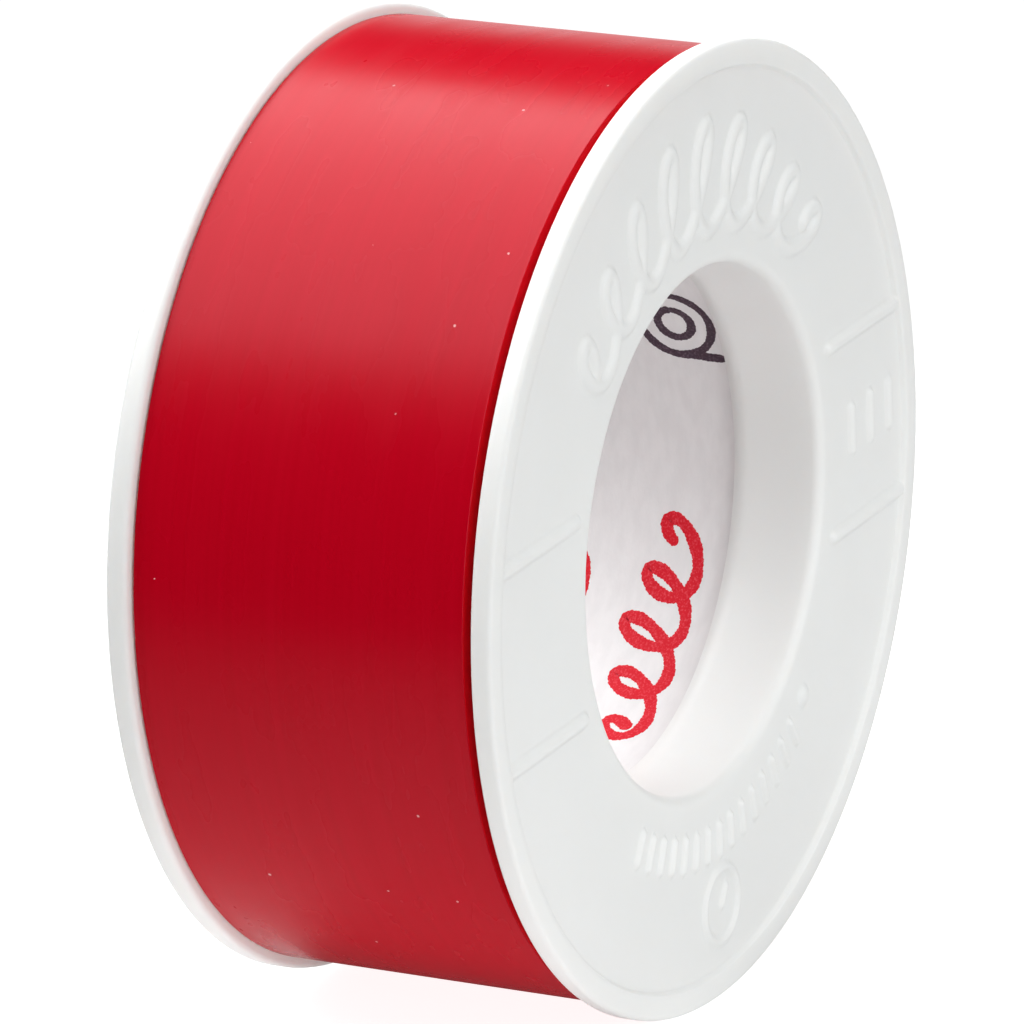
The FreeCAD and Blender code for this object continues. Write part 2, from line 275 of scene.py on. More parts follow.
class Graph:
    """Adds nodes to one shader tree and joins them."""

    def __init__(self, tree: bpy.types.NodeTree) -> None:
        """Keeps the tree and clears it.

        Args:
            tree: The material's or group's node tree.
        """
        self.tree = tree
        tree.nodes.clear()

    def node(self, kind: str, **settings: object) -> bpy.types.Node:
        """A new node of a kind with some of its properties set.

        Args:
            kind: The node's type.
            settings: Properties and their values.

        Returns:
            The node.
        """
        made = self.tree.nodes.new(kind)
        for name, value in settings.items():
            setattr(made, name, value)
        return made

    def feed(self, socket: bpy.types.NodeSocket, source: object) -> None:
        """Joins a source socket to an input, or sets the input's own value.

        Args:
            socket: The input.
            source: A socket, or a plain value.
        """
        if isinstance(source, bpy.types.NodeSocket):
            self.tree.links.new(source, socket)
        else:
            socket.default_value = source

    def math(self, operation: str, first: object, second: object = 0.0) -> bpy.types.NodeSocket:
        """The outcome of one arithmetic step on two values or sockets.

        Args:
            operation: The step's name.
            first: First value or socket.
            second: Second value or socket.

        Returns:
            The socket of the outcome.
        """
        made = self.node("ShaderNodeMath", operation=operation)
        self.feed(made.inputs[0], first)
        self.feed(made.inputs[1], second)
        return made.outputs[0]

    def band(self, value: object, low: float, high: float) -> bpy.types.NodeSocket:
        """A value's smooth rise from 0 at low to 1 at high.

        Args:
            value: The value or socket.
            low: Where the rise starts.
            high: Where it ends.

        Returns:
            The socket of the rise.
        """
        made = self.node("ShaderNodeMapRange", interpolation_type="SMOOTHSTEP")
        self.feed(made.inputs["Value"], value)
        self.feed(made.inputs["From Min"], low)
        self.feed(made.inputs["From Max"], high)
        return made.outputs["Result"]

    def stretch(self, vector: bpy.types.NodeSocket, scale: tuple) -> bpy.types.NodeSocket:
        """A coordinate scaled by its own number along each axis.

        Args:
            vector: The coordinate.
            scale: Number for each axis.

        Returns:
            The scaled coordinate's socket.
        """
        made = self.node("ShaderNodeMapping")
        self.feed(made.inputs["Vector"], vector)
        self.feed(made.inputs["Scale"], scale)
        return made.outputs["Vector"]

    def noise(
        self, vector: bpy.types.NodeSocket, scale: float, detail: float
    ) -> bpy.types.NodeSocket:
        """Cloudy noise from 0 to 1 at a scale, with a level of finer detail.

        Args:
            vector: The coordinate.
            scale: Clouds to a unit of it.
            detail: Level of finer detail.

        Returns:
            The socket of the noise.
        """
        made = self.node("ShaderNodeTexNoise")
        self.feed(made.inputs["Vector"], vector)
        self.feed(made.inputs["Scale"], scale)
        self.feed(made.inputs["Detail"], detail)
        return made.outputs["Fac"]

    def rings(self, place: bpy.types.NodeSocket, pitch: float) -> tuple:
        """Waves about the roll's axis: sin(turn x distance / pitch).

        Args:
            place: The surface's Object coordinates.
            pitch: Distance from one ring to the next, in millimetres.

        Returns:
            The socket of the waves, from -1 to 1, and that of the distance from the axis.
        """
        away = self.node("ShaderNodeVectorMath", operation="LENGTH")
        self.feed(away.inputs[0], self.stretch(place, (1.0, 0.0, 1.0)))
        phase = self.math("MULTIPLY", away.outputs["Value"], TURN / (pitch * MM))
        return self.math("SINE", phase), away.outputs["Value"]

    def mix(self, share: object, first: object, second: object) -> bpy.types.NodeSocket:
        """A colour between two colours.

        Args:
            share: 0 gives the first colour and 1 the second.
            first: First colour or socket.
            second: Second colour or socket.

        Returns:
            The socket of the colour.
        """
        made = self.node("ShaderNodeMix", data_type="RGBA")
        self.feed(made.inputs[0], share)
        self.feed(made.inputs[6], first)
        self.feed(made.inputs[7], second)
        return made.outputs[2]

    def group(self, tree: bpy.types.NodeTree, **values: object) -> bpy.types.Node:
        """Places a shared group and sets or joins its named inputs.

        Args:
            tree: The group.
            values: Value or socket of each input.

        Returns:
            The group's node.
        """
        made = self.node("ShaderNodeGroup", node_tree=tree)
        for name, value in values.items():
            self.feed(made.inputs[name], value)
        return made


def new_group(name: str, inputs: dict, outputs: list) -> tuple[Graph, object, object]:
    """An empty shader group with named sockets.

    Args:
        name: The group's name.
        inputs: Default value of each input; None makes a vector input.
        outputs: Names of the outputs, all plain values.

    Returns:
        The group's graph, its input node and its output node.
    """
    tree = bpy.data.node_groups.new(name, "ShaderNodeTree")
    graph = Graph(tree)
    for label, value in inputs.items():
        kind = "NodeSocketVector" if value is None else "NodeSocketFloat"
        socket = tree.interface.new_socket(label, in_out="INPUT", socket_type=kind)
        if value is not None:
            socket.default_value = value
    for label in outputs:
        tree.interface.new_socket(label, in_out="OUTPUT", socket_type="NodeSocketFloat")
    return graph, graph.node("NodeGroupInput"), graph.node("NodeGroupOutput")


class SharedGroups:
    """The effects that more than one finish uses, each built once."""

    def __init__(self) -> None:
        """Builds every group."""
        self.grain = self.make_grain()
        self.specks = self.make_specks()
        self.streaks = self.make_streaks()

    @staticmethod
    def make_grain() -> bpy.types.NodeTree:
        """Fine matt grain with slow clouding: Height is for bump, Cloud for colour and gloss.

        Returns:
            The group.
        """
        graph, given, result = new_group(
            "fine_grain", {"Vector": None, "Fine": 9000.0, "Slow": 160.0}, ["Height", "Cloud"]
        )
        fine = graph.noise(given.outputs["Vector"], 1.0, 2.0)
        graph.tree.links.new(given.outputs["Fine"], fine.node.inputs["Scale"])
        slow = graph.noise(given.outputs["Vector"], 1.0, 3.0)
        graph.tree.links.new(given.outputs["Slow"], slow.node.inputs["Scale"])
        graph.feed(result.inputs["Height"], fine)
        graph.feed(result.inputs["Cloud"], graph.band(slow, 0.3, 0.7))
        return graph.tree

    @staticmethod
    def make_specks() -> bpy.types.NodeTree:
        """Sparse dust: cells of a scale, of which a few hold one small dot. Mask is 1 on dots.

        Returns:
            The group.
        """
        graph, given, result = new_group(
            "dust_specks",
            {"Vector": None, "Scale": 500.0, "Size": 0.06, "Share": 0.1},
            ["Mask"],
        )
        cells = graph.node("ShaderNodeTexVoronoi", feature="F1")
        graph.feed(cells.inputs["Vector"], given.outputs["Vector"])
        graph.feed(cells.inputs["Scale"], given.outputs["Scale"])
        ragged = graph.noise(given.outputs["Vector"], 5200.0, 1.0)
        reach = graph.math("MULTIPLY", given.outputs["Size"], graph.math("ADD", ragged, 0.5))
        near = graph.math("LESS_THAN", cells.outputs["Distance"], reach)
        pick = graph.node("ShaderNodeSeparateColor")
        graph.feed(pick.inputs[0], cells.outputs["Color"])
        chosen = graph.math("LESS_THAN", pick.outputs[0], given.outputs["Share"])
        graph.feed(result.inputs["Mask"], graph.math("MULTIPLY", near, chosen))
        return graph.tree

    @staticmethod
    def make_streaks() -> bpy.types.NodeTree:
        """Long lines that run with a strip: noise stretched along the first coordinate.

        Returns:
            The group.
        """
        graph, given, result = new_group(
            "run_streaks", {"Vector": None, "Along": 3.0, "Across": 60.0}, ["Height", "Cloud"]
        )
        scale = graph.node("ShaderNodeCombineXYZ")
        graph.feed(scale.inputs["X"], given.outputs["Along"])
        graph.feed(scale.inputs["Y"], given.outputs["Across"])
        drawn = graph.node("ShaderNodeVectorMath", operation="MULTIPLY")
        graph.feed(drawn.inputs[0], given.outputs["Vector"])
        graph.feed(drawn.inputs[1], scale.outputs[0])
        lines = graph.noise(drawn.outputs[0], 1.0, 3.0)
        broad = graph.noise(drawn.outputs[0], 0.22, 2.0)
        graph.feed(result.inputs["Height"], graph.band(lines, 0.0, 1.0))
        graph.feed(result.inputs["Cloud"], graph.band(broad, 0.0, 1.0))
        return graph.tree


# Finishes


def new_material(
    name: str,
) -> tuple[Graph, bpy.types.Material, bpy.types.Node, bpy.types.Node]:
    """A material with a Principled shader joined to its output.

    Args:
        name: The material's name.

    Returns:
        Its graph, the material, the Principled node and a node of the surface's coordinates.
    """
    material = bpy.data.materials.new(name)
    material.use_nodes = True
    graph = Graph(material.node_tree)
    shader = graph.node("ShaderNodeBsdfPrincipled")
    output = graph.node("ShaderNodeOutputMaterial")
    graph.feed(output.inputs["Surface"], shader.outputs["BSDF"])
    return graph, material, shader, graph.node("ShaderNodeTexCoord")


def add_bump(graph: Graph, shader: bpy.types.Node, layers: list) -> None:
    """Chains Bump nodes into a shader's Normal.

    Args:
        graph: The material's graph.
        shader: The Principled node.
        layers: Pairs of a height socket and the depth it stands for, in millimetres.
    """
    normal = None
    for height, depth in layers:
        bump = graph.node("ShaderNodeBump")
        bump.inputs["Distance"].default_value = depth * MM
        graph.feed(bump.inputs["Height"], height)
        if normal is not None:
            graph.feed(bump.inputs["Normal"], normal)
        normal = bump.outputs["Normal"]
    graph.feed(shader.inputs["Normal"], normal)


@dataclass(frozen=True)
class VinylFilm:
    """Soft red vinyl tape: satin, with faint lines along its run and a little dust."""

    name: str = "red_vinyl_film"
    colour: tuple = (0.500, 0.0, 0.0115, 1.0)
    deep: tuple = (0.452, 0.0, 0.0085, 1.0)
    dust: tuple = (0.80, 0.42, 0.42, 1.0)
    roughness: float = 0.215
    specular: float = 0.17
    specular_tint: tuple = (1.0, 0.64, 0.72, 1.0)

    def build(self, groups: SharedGroups) -> bpy.types.Material:
        """Makes the material.

        Args:
            groups: The shared effects.

        Returns:
            The material; it reads the piece's UV map, whose first number runs with the tape.
        """
        graph, material, shader, where = new_material(self.name)
        lines = graph.group(groups.streaks, Vector=where.outputs["UV"], Along=5.0, Across=46.0)
        grain = graph.group(groups.grain, Vector=where.outputs["Object"], Fine=11000.0, Slow=210.0)
        specks = graph.group(
            groups.specks, Vector=where.outputs["Object"], Scale=420.0, Size=0.032, Share=0.60
        )
        film = graph.mix(lines.outputs["Height"], self.deep, self.colour)
        graph.feed(
            shader.inputs["Base Color"], graph.mix(specks.outputs["Mask"], film, self.dust)
        )
        gloss = graph.math("MULTIPLY", lines.outputs["Cloud"], 0.09)
        gloss = graph.math("ADD", gloss, self.roughness)
        cloud = graph.math("MULTIPLY", grain.outputs["Cloud"], 0.03)
        graph.feed(shader.inputs["Roughness"], graph.math("ADD", gloss, cloud))
        shader.inputs["Specular IOR Level"].default_value = self.specular
        shader.inputs["Specular Tint"].default_value = self.specular_tint
        add_bump(
            graph,
            shader,
            [
                (lines.outputs["Height"], 0.0010),
                (lines.outputs["Cloud"], 0.0030),
                (specks.outputs["Mask"], 0.02),
            ],
        )
        return material


@dataclass(frozen=True)
class WoundEdge:
    """The side of the winding, where the cut edges of the turns lie one on another. Its reds are
    painted light: both sit well above the film's own red, standing in for the light that reaches
    the narrow gap through the white discs.
    """

    name: str = "wound_tape_edge"
    # painted light: both reds stand well above the film's own red, lightening the side that sits
    # in the shaded gap by the discs
    colour: tuple = (0.86, 0.0, 0.0100, 1.0)
    dark: tuple = (0.66, 0.0, 0.0060, 1.0)
    pitch: float = 0.10

    def build(self, groups: SharedGroups) -> bpy.types.Material:
        """Makes the material.

        Args:
            groups: The shared effects.

        Returns:
            The material; its rings follow the distance from the roll's axis.
        """
        graph, material, shader, where = new_material(self.name)
        rings, away = graph.rings(where.outputs["Object"], self.pitch)
        grain = graph.group(groups.grain, Vector=where.outputs["Object"], Fine=7000.0, Slow=700.0)
        outward = graph.node("ShaderNodeCombineXYZ")
        graph.feed(outward.inputs["X"], away)
        layers = graph.noise(outward.outputs[0], 2600.0, 3.0)
        shade = graph.math("MULTIPLY", graph.band(rings, -1.2, 0.6), graph.band(layers, 0.3, 0.7))
        graph.feed(shader.inputs["Base Color"], graph.mix(shade, self.dark, self.colour))
        shader.inputs["Roughness"].default_value = 0.6
        shader.inputs["Specular IOR Level"].default_value = 0.08
        depths = [(rings, 0.008), (layers, 0.030), (grain.outputs["Height"], 0.006)]
        add_bump(graph, shader, depths)
        return material


@dataclass(frozen=True)
class MouldedWhite:
    """Fine matt white moulding that lets a little light through."""

    name: str = "moulded_white"
    colour: tuple = (0.885, 0.898, 0.886, 1.0)
    clouded: tuple = (0.870, 0.882, 0.868, 1.0)
    dirt: tuple = (0.30, 0.28, 0.25, 1.0)
    roughness: float = 0.42

    def build(self, groups: SharedGroups) -> bpy.types.Material:
        """Makes the material.

        Args:
            groups: The shared effects.

        Returns:
            The material; it reads Object coordinates.
        """
        graph, material, shader, where = new_material(self.name)
        grain = graph.group(groups.grain, Vector=where.outputs["Object"], Fine=6500.0, Slow=90.0)
        specks = graph.group(
            groups.specks, Vector=where.outputs["Object"], Scale=260.0, Size=0.022, Share=0.05
        )
        body = graph.mix(grain.outputs["Cloud"], self.colour, self.clouded)
        graph.feed(shader.inputs["Base Color"], graph.mix(specks.outputs["Mask"], body, self.dirt))
        gloss = graph.math("MULTIPLY", grain.outputs["Cloud"], 0.05)
        graph.feed(shader.inputs["Roughness"], graph.math("ADD", gloss, self.roughness))
        shader.inputs["Subsurface Weight"].default_value = 0.35
        shader.inputs["Subsurface Radius"].default_value = (1.0, 0.92, 0.85)
        shader.inputs["Subsurface Scale"].default_value = 0.0012
        add_bump(graph, shader, [(grain.outputs["Height"], 0.004)])
        return material


@dataclass(frozen=True)
class CoatedPaper:
    """The core's inner ply: pale off-white paper with soft fibres and stray specks."""

    name: str = "coated_paper"
    colour: tuple = (0.838, 0.826, 0.834, 1.0)
    fibre: tuple = (0.797, 0.785, 0.794, 1.0)
    speck: tuple = (0.34, 0.22, 0.25, 1.0)

    def build(self, groups: SharedGroups) -> bpy.types.Material:
        """Makes the material.

        Args:
            groups: The shared effects.

        Returns:
            The material; it reads Object coordinates.
        """
        graph, material, shader, where = new_material(self.name)
        drawn = graph.stretch(where.outputs["Object"], (1.0, 2.6, 1.0))
        fibres = graph.group(groups.grain, Vector=drawn, Fine=3200.0, Slow=620.0)
        specks = graph.group(
            groups.specks, Vector=where.outputs["Object"], Scale=700.0, Size=0.09, Share=0.09
        )
        sheet = graph.mix(fibres.outputs["Cloud"], self.colour, self.fibre)
        graph.feed(
            shader.inputs["Base Color"], graph.mix(specks.outputs["Mask"], sheet, self.speck)
        )
        shader.inputs["Roughness"].default_value = 0.62
        add_bump(graph, shader, [(fibres.outputs["Height"], 0.010)])
        return material


@dataclass(frozen=True)
class Board:
    """Plain grey-brown paperboard, with its plies showing as rings on the cut ends."""

    name: str = "wound_board"
    colour: tuple = (0.44, 0.35, 0.25, 1.0)
    dark: tuple = (0.31, 0.24, 0.165, 1.0)
    ply: float = 0.46

    def build(self, groups: SharedGroups) -> bpy.types.Material:
        """Makes the material.

        Args:
            groups: The shared effects.

        Returns:
            The material; its rings follow the distance from the roll's axis.
        """
        graph, material, shader, where = new_material(self.name)
        rings, _ = graph.rings(where.outputs["Object"], self.ply)
        plies = graph.band(rings, -1.0, -0.55)
        fibres = graph.group(groups.grain, Vector=where.outputs["Object"], Fine=2600.0, Slow=420.0)
        shade = graph.math("MULTIPLY", plies, fibres.outputs["Cloud"])
        graph.feed(shader.inputs["Base Color"], graph.mix(shade, self.dark, self.colour))
        shader.inputs["Roughness"].default_value = 0.85
        add_bump(graph, shader, [(plies, 0.03), (fibres.outputs["Height"], 0.03)])
        return material


@dataclass(frozen=True)
class PrintInk:
    """Coarse one-colour print, thin in places where the paper's fibres took less ink."""

    name: str
    colour: tuple
    thin: tuple

    def build(self, groups: SharedGroups) -> bpy.types.Material:
        """Makes the material.

        Args:
            groups: The shared effects.

        Returns:
            The material; it reads Object coordinates.
        """
        graph, material, shader, where = new_material(self.name)
        grain = graph.group(groups.grain, Vector=where.outputs["Object"], Fine=8200.0, Slow=2400.0)
        share = graph.band(grain.outputs["Height"], 0.46, 0.72)
        graph.feed(shader.inputs["Base Color"], graph.mix(share, self.colour, self.thin))
        shader.inputs["Roughness"].default_value = 0.6
        shader.inputs["Specular IOR Level"].default_value = 0.2
        add_bump(graph, shader, [(grain.outputs["Height"], 0.003)])
        return material


RED_INK = PrintInk("red_print", (0.69, 0.006, 0.020, 1.0), (0.76, 0.055, 0.080, 1.0))
DARK_INK = PrintInk("dark_print", (0.060, 0.034, 0.052, 1.0), (0.13, 0.085, 0.115, 1.0))


@dataclass
class Finishes:
    """Every finish of the roll, built once."""

    groups: SharedGroups = field(default_factory=SharedGroups)

    def __post_init__(self) -> None:
        """Builds the materials."""
        self.film = VinylFilm().build(self.groups)
        self.wound_edge = WoundEdge().build(self.groups)
        self.white = MouldedWhite().build(self.groups)
        self.paper = CoatedPaper().build(self.groups)
        self.board = Board().build(self.groups)
        self.red_ink = RED_INK.build(self.groups)
        self.dark_ink = DARK_INK.build(self.groups)


# The coil motif, which the discs carry raised and the core carries printed


@dataclass(frozen=True)
class CoilMotif:
    """A line of slanted loops on one base line, like a loose coil of wire seen from the side.

    With t a full turn for each loop: run = pitch x loops + width sin t, and
    rise = height (1 + swell cos(beats x share x turn)) (1 - cos t), sheared by the slant.
    """

    loops: float
    pitch: float
    width: float
    height: float
    swell: float = 0.0
    beats: float = 1.0
    slant: float = 0.0
    phase: float = 0.0

    def line(self, points: int) -> np.ndarray:
        """The coil's middle line.

        Args:
            points: Number of points.

        Returns:
            An array of points x (run, rise) in millimetres, centred on a run of 0.
        """
        share = np.linspace(0.0, 1.0, points)
        turn = (share * self.loops + self.phase) * TURN
        height = self.height * (1.0 + self.swell * np.cos(share * self.beats * TURN))
        rise = height * (1.0 - np.cos(turn))
        run = self.pitch * self.loops * (share - 0.5) + self.width * np.sin(turn)
        return np.stack([run + self.slant * (rise - self.height), rise], -1)


def distance_to_points(places: np.ndarray, line: np.ndarray, chunk: int = 2000) -> np.ndarray:
    """Distance from each place to the nearest point of a closely set line.

    Args:
        places: Places x 2.
        line: Points x 2.
        chunk: Places worked out at once, to bound the memory.

    Returns:
        One distance for each place.
    """
    parts = []
    for start in range(0, len(places), chunk):
        some = places[start : start + chunk]
        gaps = ((some[:, None, :] - line[None, :, :]) ** 2).sum(-1)
        parts.append(np.sqrt(gaps.min(1)))
    return np.concatenate(parts) if parts else np.zeros(0)


def distance_to_bar(x: np.ndarray, y: np.ndarray, start: tuple, end: tuple) -> np.ndarray:
    """Distance to a straight stroke: the foot of the perpendicular is held between its ends.

    Args:
        x: First coordinate of each place.
        y: Second coordinate.
        start: One end of the stroke.
        end: The other end.

    Returns:
        Distances shaped like x.
    """
    along = (end[0] - start[0], end[1] - start[1])
    length = along[0] ** 2 + along[1] ** 2
    share = np.clip(((x - start[0]) * along[0] + (y - start[1]) * along[1]) / length, 0.0, 1.0)
    return np.hypot(x - start[0] - share * along[0], y - start[1] - share * along[1])


# Side discs


@dataclass
class RaisedMarks:
    """Raised marks of a disc's web, as a height over the web at any place on it."""

    height: float = 0.25
    coil: CoilMotif = CoilMotif(8.5, 3.72, 1.45, 2.30, -0.24, 1.0, 0.30, 0.22)
    coil_circle: float = 18.8
    coil_base: float = 16.3
    coil_half_width: float = 0.48
    rib_offset: float = 5.38
    rib_from: float = 15.35
    rib_to: float = 24.2
    rib_half_width: float = 0.40
    rib_share: float = 1.18
    tick_count: int = 15
    tick_spread: float = 66.0
    tick_inner: float = 16.6
    tick_outer: float = 18.2
    tick_half_width: float = 0.26
    bar_places: tuple = (18.1, 20.5, 22.9)
    bar_reach: float = 1.15
    bar_half_width: float = 0.40
    dial_circle: float = 21.2
    dial_radius: float = 2.05
    dial_share: float = 0.8
    pointer: tuple = (0.55, 0.9)
    gate_circle: float = 17.0
    gate_angle: float = -50.0
    gate_half_width: float = 0.62

    def ridge(self, distance: np.ndarray, half_width: float) -> np.ndarray:
        """Height of a rounded stroke: a crown of (1 - d^2)^0.6 with d the share of half width.

        Args:
            distance: Distance from the stroke's middle line.
            half_width: Where the stroke meets the web.

        Returns:
            Heights in millimetres.
        """
        share = np.clip(distance / half_width, 0.0, 1.0)
        return self.height * (1.0 - share**2) ** 0.6

    def coil_height(self, x: np.ndarray, y: np.ndarray) -> np.ndarray:
        """The coil of loops bent round the arc over the bore.

        Args:
            x: Places to the right, in millimetres.
            y: Places up.

        Returns:
            Heights shaped like x.
        """
        line = self.coil.line(1500)
        angle = math.pi / 2 - line[:, 0] / self.coil_circle
        radius = self.coil_base + line[:, 1]
        bent = np.stack([radius * np.cos(angle), radius * np.sin(angle)], -1)
        reach = np.hypot(x, y)
        near = (reach > radius.min() - 1.0) & (reach < radius.max() + 1.0)
        near &= y > bent[:, 1].min() - 1.0
        height = np.zeros_like(x)
        distance = distance_to_points(np.stack([x[near], y[near]], -1), bent)
        height[near] = self.ridge(distance, self.coil_half_width)
        return height

    def heights(self, x: np.ndarray, y: np.ndarray) -> np.ndarray:
        """Height over the web: the highest of all the marks at each place.

        Args:
            x: Places to the right, in millimetres.
            y: Places up.

        Returns:
            Heights shaped like x.
        """
        tallest = self.coil_height(x, y)
        for side in (-1, 1):
            for level in (-self.rib_offset, self.rib_offset):
                ends = (side * self.rib_from, level), (side * self.rib_to, level)
                rib = distance_to_bar(x, y, *ends)
                ridge = self.rib_share * self.ridge(rib, self.rib_half_width)
                tallest = np.maximum(tallest, ridge)
        for place in range(self.tick_count):
            share = place / (self.tick_count - 1) - 0.5
            angle = math.radians(-90.0 + share * self.tick_spread)
            way = np.array([math.cos(angle), math.sin(angle)])
            tick = distance_to_bar(x, y, self.tick_inner * way, self.tick_outer * way)
            tallest = np.maximum(tallest, self.ridge(tick, self.tick_half_width))
        for place in self.bar_places:
            bar = distance_to_bar(x, y, (place, -self.bar_reach), (place, self.bar_reach))
            tallest = np.maximum(tallest, self.ridge(bar, self.bar_half_width))
        from_dial = np.hypot(x, y + self.dial_circle)
        ring = np.abs(from_dial - self.dial_radius)
        tip = (self.pointer[0], self.pointer[1] - self.dial_circle)
        pointer = distance_to_bar(x, y, (0.0, -self.dial_circle), tip)
        dial = self.ridge(np.minimum(ring, pointer), self.tick_half_width)
        tallest = np.maximum(tallest, self.dial_share * dial)
        gate_at = math.radians(self.gate_angle)
        gate = np.hypot(
            x - self.gate_circle * math.cos(gate_at), y - self.gate_circle * math.sin(gate_at)
        )
        return np.maximum(tallest, self.ridge(gate, self.gate_half_width))


@dataclass
class SideDisc:
    """A moulded side disc: hub sleeve, recessed web with raised marks, and rounded rim."""

    side: Side
    turn: float
    bore: float = 14.20
    sleeve_outer: float = 15.15
    sleeve_length: float = 4.50
    thickness: float = 1.21
    recess: float = 0.31
    rim_width: float = 1.45
    lip: float = 0.60
    rim_round: float = 0.28
    inner_round: float = 0.32
    sleeve_fillet: float = 0.10
    sleeve_round: float = 0.20
    chamfer: float = 0.18
    shoulder: float = 0.24
    shoulder_in: float = 0.12
    around: int = 900
    web_rows: int = 62
    marks: RaisedMarks = field(default_factory=RaisedMarks)

    @property
    def node(self) -> str:
        """The CAD node that this disc stands for."""
        return f"{self.side.name.lower()}_disc"

    def outline(self, rim_radius: float) -> tuple[np.ndarray, np.ndarray]:
        """The closed section as (radius, height), with height 0 on the face towards the tape.

        It runs up the bore, over the lip, out along the web, over the rim, back along the inner
        face and down the outside of the sleeve.

        Args:
            rim_radius: Outer radius of the disc.

        Returns:
            The section's points, and the share of the marks' height that each one takes.
        """
        web = self.thickness - self.recess
        low, sleeve = -self.sleeve_length, self.sleeve_outer
        before = [
            straight((self.bore, low + self.chamfer), (self.bore, web - self.lip), 5),
            arc((self.bore + self.lip, web - self.lip), self.lip, 180.0, 90.0, 8),
        ]
        step = np.linspace(0.0, 1.0, 8, endpoint=False)
        rise = web + self.recess * smooth(step, 0.0, 1.0)
        web_end = rim_radius - self.rim_width - self.shoulder_in
        shoulder = np.stack([web_end + self.shoulder * step, rise], -1)
        top = self.thickness
        rim_at = rim_radius - self.rim_round
        inner_at = rim_radius - self.inner_round
        after = [
            shoulder,
            straight((web_end + self.shoulder, top), (rim_at, top), 3),
            arc((rim_at, top - self.rim_round), self.rim_round, 90.0, 0.0, 8),
            straight((rim_radius, top - self.rim_round), (rim_radius, self.inner_round), 2),
            arc((inner_at, self.inner_round), self.inner_round, 0.0, -90.0, 5),
            straight((inner_at, 0.0), (sleeve + self.sleeve_fillet, 0.0), 4),
            straight((sleeve, -self.sleeve_fillet), (sleeve, low + self.sleeve_round), 4),
            straight((sleeve - self.sleeve_round, low), (self.bore + self.chamfer, low), 2),
        ]
        web_line = straight((self.bore + self.lip, web), (web_end, web), self.web_rows)
        section = np.concatenate([*before, web_line, *after])
        marked = np.zeros(len(section))
        start = sum(len(part) for part in before)
        marked[start : start + self.web_rows] = 1.0
        start += self.web_rows
        marked[start : start + len(step)] = 1.0 - smooth(step, 0.0, 0.9)
        return section, marked

    def build(self, finishes: Finishes) -> bpy.types.Object:
        """Makes the disc: each point is the turned section, lifted by the marks on the web.

        Args:
            finishes: The roll's finishes.

        Returns:
            The disc, riding on its own body.
        """
        low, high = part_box(self.node)
        outer_face = abs(low.y if self.side is Side.FRONT else high.y) / MM
        rim_radius = max(abs(low.z), high.z) / MM
        seat = outer_face - self.thickness
        section, marked = self.outline(rim_radius)
        angle = np.arange(self.around) / self.around * TURN
        radius, height = section[:, 0][:, None], section[:, 1][:, None]
        x, y = radius * np.cos(angle), radius * np.sin(angle)
        lifted = height + marked[:, None] * self.marks.heights(x, y)
        turned = angle + math.radians(self.turn)
        right, up = radius * np.cos(turned), radius * np.sin(turned)
        out = seat + lifted
        facing = -self.side.value
        points = np.stack([facing * right, self.side.value * out, up], -1).reshape(-1, 3)
        faces = grid_faces(len(section), self.around, True, True)
        uv = grid_uv(len(section), self.around, True, True)
        piece = make_piece(f"{self.node}_moulding", points, faces, [finishes.white], uv)
        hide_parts(self.node)
        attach(piece, self.side.name.lower())
        return piece


# Tape


